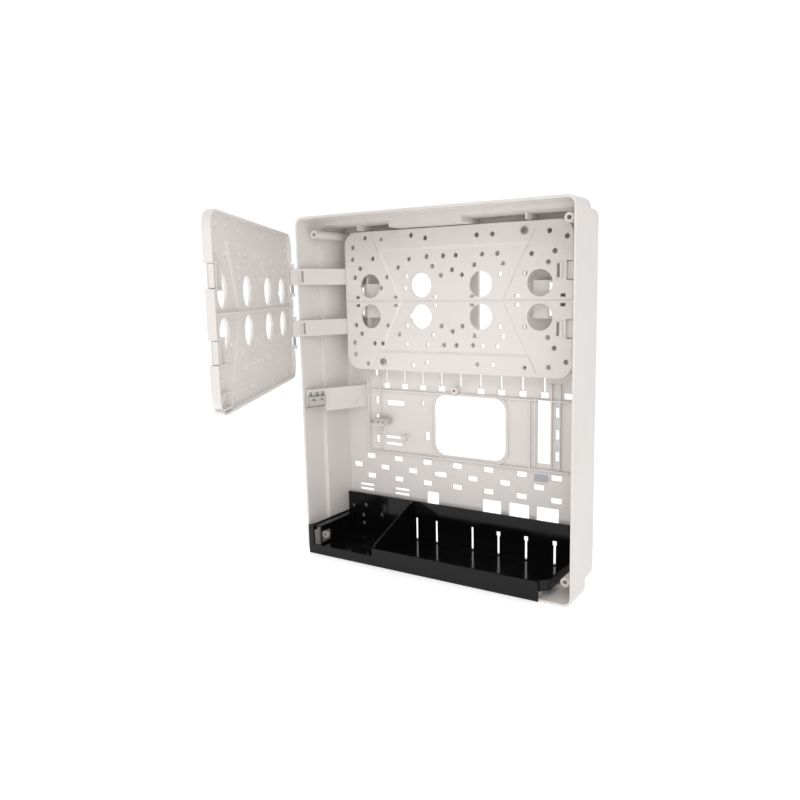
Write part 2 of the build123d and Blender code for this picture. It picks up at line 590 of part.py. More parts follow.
def main():
    os.makedirs("parts", exist_ok=True)
    moulding = plate()
    save("back_box", back_box())
    save("inner_plate", inner_plate(moulding))
    save("outer_plate", outer_plate(moulding))
    for name, z in zip(("upper", "lower"), ARM_Z):
        save(f"hinge_arm_{name}", hinge_arm(z))
        save(f"hinge_pin_{name}", pivot_pin(hinge_point(), PLATE_Z - SAG + z))
        save(f"arm_root_pin_{name}", pivot_pin(root_point(), PLATE_Z + z))
    save("plate_screws", plate_screws())
    save("blank_label", blank_label())
    save("tamper_bracket", tamper_bracket())
    switches = (("cover", cover_switch_place(), (2.0, 1.0)), ("wall", wall_switch_place(), (0.4, 3.4)))
    for name, place, nose in switches:
        save(f"{name}_switch", place * switch_body())
        save(f"{name}_switch_terminals", [place * blade for blade in switch_terminals()])
        save(f"{name}_switch_plunger", place * switch_plunger())
        save(f"{name}_switch_lever", place * switch_lever(nose))
    save("tray", tray())
    save("tray_partition", tray_partition())


main()
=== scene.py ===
"""Finish, small hardware, light and camera for the open wall enclosure."""

import json
import math

import bpy
from bpy.props import FloatProperty, FloatVectorProperty, PointerProperty
from mathutils import Matrix, Vector


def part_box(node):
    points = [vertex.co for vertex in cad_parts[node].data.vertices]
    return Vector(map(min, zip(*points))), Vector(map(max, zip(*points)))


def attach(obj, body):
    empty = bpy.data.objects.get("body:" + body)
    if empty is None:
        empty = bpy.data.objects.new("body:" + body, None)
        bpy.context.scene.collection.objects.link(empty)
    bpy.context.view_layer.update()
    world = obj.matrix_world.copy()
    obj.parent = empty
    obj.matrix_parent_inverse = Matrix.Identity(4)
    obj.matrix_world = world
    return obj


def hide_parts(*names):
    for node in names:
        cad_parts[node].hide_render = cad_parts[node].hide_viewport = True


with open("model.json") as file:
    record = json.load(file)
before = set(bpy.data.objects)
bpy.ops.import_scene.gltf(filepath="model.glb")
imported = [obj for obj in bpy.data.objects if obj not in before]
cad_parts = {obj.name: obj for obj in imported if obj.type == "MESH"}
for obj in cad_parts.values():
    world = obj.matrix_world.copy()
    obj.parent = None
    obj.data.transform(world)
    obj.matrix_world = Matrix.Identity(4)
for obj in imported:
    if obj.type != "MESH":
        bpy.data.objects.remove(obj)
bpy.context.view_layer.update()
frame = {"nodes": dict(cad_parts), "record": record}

bl_info = {
    "name": "Wall Enclosure Finisher",
    "version": (1, 0, 0),
    "blender": (4, 5, 0),
    "location": "3D View > Sidebar > Enclosure",
    "description": "Finishes an open wall enclosure's mouldings and builds its screws, pins and switches",
    "category": "Object",
}

MOULDINGS = ("back_box", "inner_plate", "outer_plate", "hinge_arm_upper", "hinge_arm_lower", "tamper_bracket")
TRAY_PARTS = ("tray", "tray_partition")
PINS = ("hinge_pin_upper", "hinge_pin_lower", "arm_root_pin_upper", "arm_root_pin_lower")
BODY_OF = {node: body for body, nodes in frame["record"]["behaviour"]["bodies"].items() for node in nodes}


# ---------------------------------------------------------------- sizes and colours
class MouldingFinish(bpy.types.PropertyGroup):
    """Colour and texture of the white mouldings."""

    white: FloatVectorProperty(
        name="White", description="Fresh moulded white", subtype="COLOR", size=3,
        min=0.0, max=1.0, default=(0.805, 0.775, 0.755))
    aged: FloatVectorProperty(
        name="Aged white", description="Where the plastic has warmed a little with age", subtype="COLOR",
        size=3, min=0.0, max=1.0, default=(0.775, 0.735, 0.705))
    grain: FloatProperty(
        name="Grain", description="Size of the spark-eroded grain", unit="LENGTH",
        min=0.0002, max=0.005, default=0.0009)
    edge: FloatProperty(
        name="Edge softness", description="Radius that the tool leaves on every sharp edge", unit="LENGTH",
        min=0.0, max=0.002, default=0.0005)
    dull: FloatProperty(
        name="Dullness", description="Mean surface roughness", min=0.1, max=1.0, default=0.46)


class TrayFinish(bpy.types.PropertyGroup):
    """Colour and gloss of the black tray."""

    black: FloatVectorProperty(
        name="Black", description="Moulded black", subtype="COLOR", size=3,
        min=0.0, max=1.0, default=(0.0040, 0.0040, 0.0043))
    dust: FloatVectorProperty(
        name="Dust", description="Fine dust lying on level faces", subtype="COLOR", size=3,
        min=0.0, max=1.0, default=(0.10, 0.098, 0.095))
    gloss: FloatProperty(
        name="Roughness", description="Roughness of the clean plastic", min=0.05, max=1.0, default=0.11)


class HardwareSizes(bpy.types.PropertyGroup):
    """Plate screws, hinge pins and the blank label."""

    head_radius: FloatProperty(
        name="Screw head radius", description="Pan head of the plate screws", unit="LENGTH", default=0.0038)
    head_height: FloatProperty(
        name="Screw head height", description="How far a head stands off the plate", unit="LENGTH",
        default=0.0022)
    shank_radius: FloatProperty(
        name="Screw shank radius", description="Shank below the head", unit="LENGTH", default=0.00155)
    recess_length: FloatProperty(
        name="Recess length", description="Across the cross recess", unit="LENGTH", default=0.0042)
    recess_width: FloatProperty(
        name="Recess width", description="One arm of the cross recess", unit="LENGTH", default=0.0009)
    recess_depth: FloatProperty(
        name="Recess depth", description="Depth of the cross recess", unit="LENGTH", default=0.0011)
    pin_radius: FloatProperty(
        name="Pin radius", description="Hinge pin", unit="LENGTH", default=0.0015)
    zinc: FloatVectorProperty(
        name="Zinc", description="Plated steel", subtype="COLOR", size=3, min=0.0, max=1.0,
        default=(0.50, 0.49, 0.46))
    label: FloatVectorProperty(
        name="Label", description="Blank film label", subtype="COLOR", size=3, min=0.0, max=1.0,
        default=(0.50, 0.51, 0.54))


class SwitchSizes(bpy.types.PropertyGroup):
    """The two snap-action tamper switches."""

    length: FloatProperty(name="Length", description="Switch body", unit="LENGTH", default=0.0200)
    thickness: FloatProperty(name="Thickness", description="Switch body", unit="LENGTH", default=0.0064)
    height: FloatProperty(name="Height", description="Switch body", unit="LENGTH", default=0.0100)
    seam: FloatProperty(
        name="Seam", description="Groove between body and cover", unit="LENGTH", default=0.0003)
    lever_width: FloatProperty(name="Lever width", description="Spring leaf", unit="LENGTH", default=0.0036)
    lever_gauge: FloatProperty(name="Lever gauge", description="Spring leaf", unit="LENGTH", default=0.0006)
    pivot_along: FloatProperty(
        name="Pivot place", description="Lever pivot from the body's middle", unit="LENGTH", default=0.0080)
    pivot_up: FloatProperty(
        name="Pivot height", description="Lever pivot from the body's lever side", unit="LENGTH",
        default=0.0004)
    button_along: FloatProperty(
        name="Button place", description="Button from the body's middle", unit="LENGTH", default=-0.0030)
    blade_length: FloatProperty(
        name="Blade length", description="How far a terminal stands out", unit="LENGTH", default=0.0048)
    blade_half_width: FloatProperty(
        name="Blade half width", description="Half the width of a terminal", unit="LENGTH", default=0.0011)
    blade_half_gauge: FloatProperty(
        name="Blade half gauge", description="Half the thickness of a terminal", unit="LENGTH",
        default=0.00025)
    # Cover switch body: the switch plastic darkened as painted shade, for the shadow that falls on it under
    # the bracket
    painted_shade_body: FloatVectorProperty(
        name="Dark body", description="Cover switch", subtype="COLOR", size=3, min=0.0, max=1.0,
        default=(0.46, 0.45, 0.42))
    light: FloatVectorProperty(
        name="Light body", description="Wall switch", subtype="COLOR", size=3, min=0.0, max=1.0,
        default=(0.60, 0.57, 0.53))


class StageSettings(bpy.types.PropertyGroup):
    """Floor, lights and camera."""

    lens: FloatProperty(name="Lens", description="Focal length in millimetres", default=33.48)
    stand: FloatVectorProperty(
        name="Camera position", description="Where the camera stands", subtype="TRANSLATION", size=3,
        unit="LENGTH", default=(0.39896, -0.67708, 0.29997))
    turn: FloatProperty(name="Turn", description="Compass turn to the left of straight ahead",
                        unit="ROTATION", default=0.5550)
    tilt: FloatProperty(
        name="Tilt", description="How far the camera looks down", unit="ROTATION", default=0.14964)
    roll: FloatProperty(name="Roll", description="Lean of the camera", unit="ROTATION", default=-0.0167)
    shift: FloatVectorProperty(name="Shift", description="Framing shift across and up", size=2,
                               default=(-0.0325, 0.0039))
    floor: FloatVectorProperty(name="Floor", description="Colour of the floor", subtype="COLOR", size=3,
                               min=0.0, max=1.0, default=(0.93, 0.93, 0.93))
    floor_glow: FloatProperty(
        name="Floor glow", description="Light let through the floor from below", default=0.48)
    room: FloatProperty(name="Room light", description="White sweep behind the enclosure", default=1.05)
    room_front: FloatProperty(
        name="Front room light", description="Dimmer side in front of the enclosure", default=0.32)
    room_blend: FloatProperty(
        name="Room blend", description="Part of the way round over which the sweep brightens", default=0.70)
    key: FloatProperty(name="Key light", description="Power of the large softbox in watts", default=8.0)
    fill: FloatProperty(name="Right fill", description="Power of the right fill in watts", default=8.5)
    fill_left: FloatProperty(name="Left fill", description="Power of the left fill in watts", default=2.5)
    overhead: FloatProperty(
        name="Overhead", description="Power of the overhead softbox in watts", default=6.0)


# ---------------------------------------------------------------- materials
MIX_FIRST, MIX_SECOND, MIX_COLOUR = 6, 7, 2     # the Mix node's colour sockets
EDGE_SAMPLES = 4


class Finish:
    """One material being put together: its shader, and the point on the surface in metres."""

    def __init__(self, name):
        self.material = bpy.data.materials.new(name)
        self.material.use_nodes = True
        self.tree = self.material.node_tree
        self.shader = self.tree.nodes["Principled BSDF"]
        self.point = self.tree.nodes.new("ShaderNodeTexCoord").outputs["Object"]

    def link(self, value, socket):
        """Puts a number or colour on a socket, or links another node's output to it."""
        if isinstance(value, bpy.types.NodeSocket):
            self.tree.links.new(value, socket)
        elif isinstance(value, (tuple, list)) and len(value) == 3 and socket.type == "RGBA":
            socket.default_value = (*value, 1.0)
        else:
            socket.default_value = value

    def node(self, kind, **inputs):
        made = self.tree.nodes.new(kind)
        for name, value in inputs.items():
            self.link(value, made.inputs[name.replace("_", " ")])
        return made

    def noise(self, size, detail=2.0, stretch=None, rough=0.5):
        """Even noise whose blobs are about size metres across, 0 to 1."""
        point = self.point
        if stretch:
            point = self.node("ShaderNodeMapping", Vector=point, Scale=stretch).outputs["Vector"]
        made = self.node("ShaderNodeTexNoise", Vector=point, Scale=1.0 / size, Detail=detail, Roughness=rough)
        return made.outputs["Fac"]

    def spread(self, value, low, high, to_low=0.0, to_high=1.0):
        """Maps a value from one range to another, clamped."""
        made = self.node("ShaderNodeMapRange", Value=value)
        for key, number in (("From Min", low), ("From Max", high), ("To Min", to_low), ("To Max", to_high)):
            made.inputs[key].default_value = number
        return made.outputs["Result"]

    def mix(self, factor, first, second):
        made = self.tree.nodes.new("ShaderNodeMix")
        made.data_type = "RGBA"
        self.link(factor, made.inputs["Factor"])
        self.link(first, made.inputs[MIX_FIRST])
        self.link(second, made.inputs[MIX_SECOND])
        return made.outputs[MIX_COLOUR]

    def math(self, kind, first, second=0.0):
        made = self.tree.nodes.new("ShaderNodeMath")
        made.operation = kind
        self.link(first, made.inputs[0])
        self.link(second, made.inputs[1])
        return made.outputs[0]

    def upward(self):
        """1 on level faces that look up, 0 on walls and undersides."""
        normal = self.tree.nodes.new("ShaderNodeNewGeometry").outputs["Normal"]
        rise = self.node("ShaderNodeSeparateXYZ", Vector=normal).outputs["Z"]
        return self.spread(rise, 0.6, 0.95)

    def soft_edge(self, radius):
        """A normal rounded over sharp edges."""
        made = self.tree.nodes.new("ShaderNodeBevel")
        made.samples = EDGE_SAMPLES
        made.inputs["Radius"].default_value = radius
        return made.outputs["Normal"]

    def bump(self, height, depth, strength=1.0, normal=None):
        made = self.node("ShaderNodeBump", Height=height, Strength=strength, Distance=depth)
        if normal is not None:
            self.link(normal, made.inputs["Normal"])
        return made.outputs["Normal"]

    def set(self, **inputs):
        """Sets or links the shader's own sockets."""
        for name, value in inputs.items():
            self.link(value, self.shader.inputs[name.replace("_", " ")])
        return self.material


def moulded_white():
    """Matt ABS with a spark-eroded grain, faint flow marks and a little warmth where it has aged."""
    size = bpy.context.scene.moulding_finish
    finish = Finish("moulded_white")
    clouds = finish.spread(finish.noise(0.16, detail=3.0), 0.35, 0.70)
    flow = finish.spread(finish.noise(0.05, detail=4.0, stretch=(1.0, 1.0, 0.22)), 0.30, 0.75, 0.0, 0.35)
    colour = finish.mix(finish.math("MAXIMUM", clouds, flow), tuple(size.white), tuple(size.aged))
    specks = finish.spread(finish.noise(0.0035, detail=1.0), 0.74, 0.80, 0.0, 0.25)
    colour = finish.mix(specks, colour, (0.55, 0.50, 0.45))
    grain = finish.noise(size.grain, detail=3.0, rough=0.65)
    waves = finish.noise(0.030, detail=1.0)
    normal = finish.soft_edge(size.edge) if size.edge > 0 else None
    normal = finish.bump(waves, 0.0004, 0.25, normal)
    normal = finish.bump(grain, 0.00010, 0.55, normal)
    dull = finish.spread(finish.noise(0.045, detail=3.0), 0.3, 0.7, size.dull - 0.07, size.dull + 0.08)
    return finish.set(Base_Color=colour, Roughness=dull, Normal=normal, IOR=1.52)


def moulded_black():
    """Semi-gloss black plastic: clean and shiny on the walls, faint dust and rubs on level faces."""
    size = bpy.context.scene.tray_finish
    finish = Finish("moulded_black")
    patches = finish.spread(finish.noise(0.05, detail=5.0, rough=0.6), 0.42, 0.75)
    dusty = finish.math("MULTIPLY", finish.upward(), finish.spread(patches, 0.0, 1.0, 0.0, 0.02))
    colour = finish.mix(dusty, tuple(size.black), tuple(size.dust))
    rubs = finish.noise(0.004, detail=2.0, stretch=(0.06, 1.0, 1.0))
    grain = finish.noise(0.0012, detail=2.0)
    normal = finish.soft_edge(0.0005)
    normal = finish.bump(finish.noise(0.024, detail=1.0), 0.0004, 0.30, normal)
    normal = finish.bump(rubs, 0.00005, 0.25, normal)
    normal = finish.bump(grain, 0.00005, 0.30, normal)
    dull = finish.spread(patches, 0.0, 1.0, size.gloss - 0.03, size.gloss + 0.06)
    return finish.set(Base_Color=colour, Roughness=dull, Normal=normal, IOR=1.34)


def plated_steel(name, colour, rough):
    """Plated or bright steel with fine drawn lines and slightly cloudy plating."""
    finish = Finish(name)
    cloud = finish.spread(finish.noise(0.004, detail=4.0), 0.35, 0.70)
    shade = finish.mix(cloud, colour, tuple(c * 0.72 for c in colour))
    lines = finish.noise(0.0005, detail=2.0, stretch=(1.0, 0.08, 1.0))
    normal = finish.bump(lines, 0.00003, 0.35)
    dull = finish.spread(cloud, 0.0, 1.0, rough - 0.06, rough + 0.10)
    return finish.set(Base_Color=shade, Metallic=1.0, Roughness=dull, Normal=normal)


def small_plastic(name, colour, rough):
    """Fine matt plastic of the switches: even, lightly speckled with filler."""
    finish = Finish(name)
    filler = finish.spread(finish.noise(0.0006, detail=2.0), 0.45, 0.72)
    shade = finish.mix(filler, colour, tuple(min(1.0, c * 1.35 + 0.01) for c in colour))
    normal = finish.bump(finish.noise(0.00035, detail=2.0), 0.00003, 0.5)
    dull = finish.spread(finish.noise(0.003), 0.3, 0.7, rough - 0.06, rough + 0.06)
    return finish.set(Base_Color=shade, Roughness=dull, Normal=normal, IOR=1.50)


def label_film():
    """Blank satin film with a slight ripple where it was laid down by hand."""
    finish = Finish("label_film")
    tint = tuple(bpy.context.scene.hardware_sizes.label)
    blush = finish.spread(finish.noise(0.008, detail=2.0), 0.35, 0.7)
    shade = finish.mix(blush, tint, tuple(c * 0.93 for c in tint))
    normal = finish.bump(finish.noise(0.006, detail=1.0), 0.0002, 0.35)
    dull = finish.spread(blush, 0.0, 1.0, 0.24, 0.34)
    return finish.set(Base_Color=shade, Roughness=dull, Normal=normal)


def floor_paper():
    """Pale seamless paper."""
    finish = Finish("floor_paper")
    tint = tuple(bpy.context.scene.stage_settings.floor)
    mottle = finish.spread(finish.noise(0.25, detail=2.0), 0.3, 0.7)
    shade = finish.mix(mottle, tint, tuple(c * 0.985 for c in tint))
    normal = finish.bump(finish.noise(0.002, detail=2.0), 0.0001, 0.1)
    glow = bpy.context.scene.stage_settings.floor_glow
    return finish.set(Base_Color=shade, Roughness=0.6, Normal=normal,
                      Emission_Color=(1.0, 1.0, 1.0), Emission_Strength=glow)


def give(piece, material):
    """Puts one material in every slot of a piece, adding a slot where it has none."""
    if not piece.material_slots:
        piece.data.materials.append(material)
    for held in piece.material_slots:
        held.material = material


# ---------------------------------------------------------------- modelling by hand
def only(piece):
    """Selects one object and nothing else."""
    bpy.ops.object.select_all(action="DESELECT")
    piece.select_set(True)
    bpy.context.view_layer.objects.active = piece


def settle(piece):
    """Applies an object's place, turn and scale to its mesh."""
    only(piece)
    bpy.ops.object.transform_apply(location=True, rotation=True, scale=True)
    return piece


def start_block(name, low, high):
    """A block between two corners."""
    bpy.ops.object.select_all(action="DESELECT")
    low, high = Vector(low), Vector(high)
    bpy.ops.mesh.primitive_cube_add(size=1.0, location=(low + high) / 2, scale=high - low)
    piece = bpy.context.active_object
    piece.name = piece.data.name = name
    return settle(piece)


def start_round(name, centre, radius, length, axis="Z", sides=48):
    """A round bar about its middle along X, Y or Z."""
    bpy.ops.object.select_all(action="DESELECT")
    turn = {"X": (0, math.pi / 2, 0), "Y": (math.pi / 2, 0, 0), "Z": (0, 0, 0)}[axis]
    bpy.ops.mesh.primitive_cylinder_add(
        vertices=sides, radius=radius, depth=length, location=centre, rotation=turn)
    piece = bpy.context.active_object
    piece.name = piece.data.name = name
    return settle(piece)


def pick(piece, kind, test):
    """Enters edit mode with those faces (middle, normal) or edges (middle, run) selected that pass."""
    only(piece)
    bpy.ops.object.mode_set(mode="EDIT")
    bpy.ops.mesh.select_mode(type=kind)
    bpy.ops.mesh.select_all(action="DESELECT")
    bpy.ops.object.mode_set(mode="OBJECT")
    mesh = piece.data
    found = 0
    if kind == "FACE":
        for face in mesh.polygons:
            face.select = test(face.center, face.normal)
            found += face.select
    else:
        for edge in mesh.edges:
            a, b = (mesh.vertices[v].co for v in edge.vertices)
            edge.select = test((a + b) / 2, b - a)
            found += edge.select
    if not found:
        raise RuntimeError(f"nothing to shape on {piece.name}")
    bpy.ops.object.mode_set(mode="EDIT")


def done():
    """Leaves edit mode."""
    bpy.ops.object.mode_set(mode="OBJECT")


def modify(piece, kind, **values):
    """Adds a modifier and applies it."""
    only(piece)
    made = piece.modifiers.new(kind.lower(), kind)
    for key, value in values.items():
        setattr(made, key, value)
    bpy.ops.object.modifier_apply(modifier=made.name)


def cut(piece, cutter):
    """Takes one solid away from another."""
    modify(piece, "BOOLEAN", operation="DIFFERENCE", solver="EXACT", object=cutter)
    bpy.data.objects.remove(cutter, do_unlink=True)


def join(name, pieces):
    """Several solids as one object."""
    bpy.ops.object.select_all(action="DESELECT")
    for piece in pieces:
        piece.select_set(True)
    bpy.context.view_layer.objects.active = pieces[0]
    if len(pieces) > 1:
        bpy.ops.object.join()
    whole = bpy.context.active_object
    whole.name = whole.data.name = name
    return whole


def round_edges(piece, width, segments=2, angle=35.0):
    modify(piece, "BEVEL", width=width, segments=segments, limit_method="ANGLE",
           angle_limit=math.radians(angle), harden_normals=False)


def smooth(piece, angle=40.0):
    only(piece)
    bpy.ops.object.shade_smooth_by_angle(angle=math.radians(angle))


def place(piece, matrix):
    """Puts a piece drawn in its own frame where it belongs."""
    piece.matrix_world = matrix
    return settle(piece)


def hand_over(piece, node, material):
    """Gives a finished piece its material and its body, and hides the node that it stands for."""
    give(piece, material)
    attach(piece, BODY_OF[node])
    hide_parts(node)


def middle_of(node):
    low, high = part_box(node)
    return (Vector(low) + Vector(high)) / 2


# ---------------------------------------------------------------- operators
class ENCLOSURE_OT_finish_mouldings(bpy.types.Operator):
    """Gives every white moulding its grained, lightly aged surface"""

    bl_idname = "enclosure.finish_mouldings"
    bl_label = "Finish White Mouldings"

    def execute(self, context):
        white = moulded_white()
        for node in MOULDINGS:
            give(frame["nodes"][node], white)
        return {"FINISHED"}


class ENCLOSURE_OT_finish_tray(bpy.types.Operator):
    """Gives the tray and its partition their semi-gloss black"""

    bl_idname = "enclosure.finish_tray"
    bl_label = "Finish Black Tray"

    def execute(self, context):
        black = moulded_black()
        for node in TRAY_PARTS:
            give(frame["nodes"][node], black)
        return {"FINISHED"}


class ENCLOSURE_OT_plate_screws(bpy.types.Operator):
    """Builds the two pan-head screws that hold the inner plate"""

    bl_idname = "enclosure.plate_screws"
    bl_label = "Build Plate Screws"

    def screw(self, x, face, tip, z, lean):
        size = bpy.context.scene.hardware_sizes
        radius, height = size.head_radius, size.head_height
        head = start_round("screw_head", (x, face - height / 2, z), radius, height, "Y", 64)
        front = face - height
        pick(head, "FACE", lambda at, way: way.y < -0.9)
        bpy.ops.mesh.inset(thickness=radius * 0.12)
        bpy.ops.transform.translate(value=(0, -0.00001, 0))
        done()
        round_edges(head, height * 0.55, segments=6)
        half = Vector((size.recess_length / 2, size.recess_depth, size.recess_width / 2))
        for turn in (lean, lean + math.pi / 2):
            arm = start_block("recess", -half, half)
            pick(arm, "FACE", lambda at, way: way.y > 0.9)
            bpy.ops.transform.resize(value=(0.55, 1.0, 0.75), center_override=(0, half.y, 0))
            done()
            place(arm, Matrix.Translation((x, front, z)) @ Matrix.Rotation(turn, 4, "Y"))
            cut(head, arm)
        shank = start_round("screw_shank", (x, (face + tip) / 2, z), size.shank_radius, tip - face, "Y", 24)
        pick(shank, "FACE", lambda at, way: way.y > 0.9)
        bpy.ops.mesh.inset(thickness=0.0004)
        bpy.ops.mesh.extrude_region_move(TRANSFORM_OT_translate={"value": (0, -0.00001, 0)})
        done()
        round_edges(shank, 0.0003, segments=2)
        return [head, shank]

    def execute(self, context):
        size = context.scene.hardware_sizes
        low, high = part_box("plate_screws")
        radius, face = size.head_radius, low[1] + size.head_height
        parts = self.screw(high[0] - radius, face, high[1], high[2] - radius, math.radians(24))
        parts += self.screw(low[0] + radius, face, high[1], low[2] + radius, math.radians(-11))
        screws = join("plate_screw_pair", parts)
        smooth(screws)
        hand_over(screws, "plate_screws", plated_steel("zinc_plated", tuple(size.zinc), 0.30))
        return {"FINISHED"}


class ENCLOSURE_OT_hinge_pins(bpy.types.Operator):
    """Builds the four pins of the hinge arms, domed at both ends"""

    bl_idname = "enclosure.hinge_pins"
    bl_label = "Build Hinge Pins"

    def execute(self, context):
        steel = plated_steel("drawn_pin_steel", tuple(context.scene.hardware_sizes.zinc), 0.26)
        radius = context.scene.hardware_sizes.pin_radius
        for node in PINS:
            low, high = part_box(node)
            pin = start_round(f"{node}_turned", middle_of(node), radius, high[2] - low[2], "Z", 40)
            pick(pin, "FACE", lambda at, way: abs(way.z) > 0.9)
            bpy.ops.mesh.inset(thickness=radius * 0.3, use_individual=True)
            done()
            round_edges(pin, radius * 0.22, segments=4)
            smooth(pin)
            hand_over(pin, node, steel)
        return {"FINISHED"}


class ENCLOSURE_OT_blank_label(bpy.types.Operator):
    """Builds the small blank film label on the back wall"""

    bl_idname = "enclosure.blank_label"
    bl_label = "Build Blank Label"

    def execute(self, context):
        low, high = (Vector(corner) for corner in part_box("blank_label"))
        label = start_block("blank_label_film", low, high)
        pick(label, "EDGE", lambda at, run: abs(run.y) > abs(run.x) + abs(run.z))
        bpy.ops.mesh.bevel(offset=0.0012, segments=6)
        done()
        pick(label, "FACE", lambda at, way: way.y < -0.9)
        bpy.ops.mesh.inset(thickness=0.0005)
        bpy.ops.transform.translate(value=(0, 0.00006, 0))
        done()
        hand_over(label, "blank_label", label_film())
        return {"FINISHED"}


class ENCLOSURE_OT_tamper_switches(bpy.types.Operator):
    """Builds both snap-action switches: body, terminals, plunger and lever"""

    bl_idname = "enclosure.tamper_switches"
    bl_label = "Build Tamper Switches"

    def frame_of(self, name, size):
        """The switch's own frame: x along it, z from its lever towards its terminals."""
        joint = next(j for j in frame["record"]["behaviour"]["joints"] if j["name"] == f"{name}_lever_hinge")
        across = Vector(joint["axis"]).normalized()
        up = Vector((0, 0, 1)) if name == "cover" else Vector((0, -1, 0))
        along = across.cross(up).normalized()
        pivot = Vector(joint["pos_m"])
        origin = pivot - along * size.pivot_along - up * size.pivot_up
        turn = Matrix((along, across, up)).transposed().to_4x4()
        return Matrix.Translation(origin) @ turn

    def body(self, name, size):
        half_l, half_t = size.length / 2, size.thickness / 2
        body = start_block(f"{name}_switch_body", (-half_l, -half_t, 0), (half_l, half_t, size.height))
        pick(body, "EDGE", lambda at, run: abs(run.z) > abs(run.x) + abs(run.y))
        bpy.ops.mesh.bevel(offset=0.0006, segments=3)
        done()
        ring = start_block("seam", (-half_l - 0.001, half_t * 0.45, -0.001),
                           (half_l + 0.001, half_t * 0.45 + size.seam, size.height + 0.001))
        core = start_block("core", (-half_l + size.seam, -half_t, size.seam),
                           (half_l - size.seam, half_t, size.height - size.seam))
        cut(ring, core)
        cut(body, ring)
        for x in (-0.005, 0.005):
            cut(body, start_round("fixing", (x, 0, size.height * 0.62), 0.0012, size.thickness * 2, "Y", 28))
        button, hook = size.button_along, size.pivot_along
        cut(body, start_block("plunger_pocket", (button - 0.00135, -0.00115, -0.001),
                              (button + 0.00135, 0.00115, 0.0024)))
        cut(body, start_block("lever_notch", (hook - 0.0011, -0.0021, -0.001),
                              (hook + 0.0011, 0.0021, 0.0015)))
        round_edges(body, 0.00015, segments=2, angle=50)
        smooth(body, 35)
        return body

    def terminals(self, name, size):
        blades = []
        half, gauge, end = size.blade_half_width, size.blade_half_gauge, size.height + size.blade_length
        for x in (-0.0075, 0.0005, 0.0075):
            blade = start_block("blade", (x - half, -gauge, size.height), (x + half, gauge, end))
            pick(blade, "EDGE", lambda at, run: at.z > end - 0.0001 and abs(run.y) > abs(run.x))
            bpy.ops.mesh.bevel(offset=0.0006, segments=4)
            done()
            cut(blade, start_round("eye", (x, 0, size.height + 0.0034), 0.0006, 0.003, "Y", 20))
            round_edges(blade, 0.00006, segments=1, angle=60)
            blades.append(blade)
        return join(f"{name}_switch_blades", blades)

    def plunger(self, name, size):
        low = (size.button_along - 0.0012, -0.0010, -0.00155)
        high = (size.button_along + 0.0012, 0.0010, 0.0012)
        button = start_block(f"{name}_switch_button", low, high)
        pick(button, "EDGE", lambda at, run: abs(run.z) > abs(run.x) + abs(run.y))
        bpy.ops.mesh.bevel(offset=0.0004, segments=3)
        done()
        pick(button, "FACE", lambda at, way: way.z < -0.9)
        bpy.ops.mesh.inset(thickness=0.0003)
        done()
        round_edges(button, 0.0002, segments=3, angle=50)
        smooth(button)
        return button

    def lever(self, name, size, nose):
        """A leaf grown from its hook by extrusion, its end bent down to the nose."""
        half, gauge = size.lever_width / 2, size.lever_gauge
        top = -0.0017
        leaf = start_block(f"{name}_switch_leaf", (0.0, -half, top - gauge), (0.0086, half, top))
        for reach, drop in ((-0.0118, 0.0), nose):
            tip = min(corner.co.x for corner in leaf.data.vertices)
            pick(leaf, "FACE", lambda at, way: way.x < -0.5 and at.x <= tip + gauge)
            bpy.ops.mesh.extrude_region_move(TRANSFORM_OT_translate={"value": (reach, 0, drop)})
            done()
        hook = start_block("hook", (size.pivot_along - 0.0004, -half, top - gauge * 0.5),
                           (size.pivot_along + 0.0004, half, size.pivot_up))
        eye = start_round("eye", (size.pivot_along, 0, size.pivot_up), 0.0006, size.lever_width, "Y", 24)
        whole = join(f"{name}_switch_leaf", [leaf, hook, eye])
        round_edges(whole, 0.00012, segments=2, angle=50)
        smooth(whole)
        return whole

    def execute(self, context):
        size = context.scene.switch_sizes
        spring = plated_steel("spring_leaf", (0.56, 0.55, 0.52), 0.22)
        tinned = plated_steel("tinned_blade", (0.36, 0.33, 0.29), 0.42)
        nylon = small_plastic("nylon_button", (0.60, 0.58, 0.52), 0.45)
        # The cover switch shell is a darker copy of the switch plastic, painted shade where the bracket
        # shades it; the wall switch shell keeps the lit colour
        shells = {"cover": small_plastic("painted_shade_switch_shell", tuple(size.painted_shade_body), 0.5),
                  "wall": small_plastic("light_switch_shell", tuple(size.light), 0.5)}
        noses = {"cover": (-0.0020, -0.0010), "wall": (-0.0004, -0.0034)}
        for name in ("cover", "wall"):
            where = self.frame_of(name, size)
            made = (
                (self.body(name, size), f"{name}_switch", shells[name]),
                (self.terminals(name, size), f"{name}_switch_terminals", tinned),
                (self.plunger(name, size), f"{name}_switch_plunger", nylon),
                (self.lever(name, size, noses[name]), f"{name}_switch_lever", spring),
            )
            for piece, node, material in made:
                place(piece, where)
                hand_over(piece, node, material)
        return {"FINISHED"}


FLOOR_SIDE = 14.0
LIGHT_AIM = (0.0, -0.02, 0.19)      # a point in the middle of the enclosure


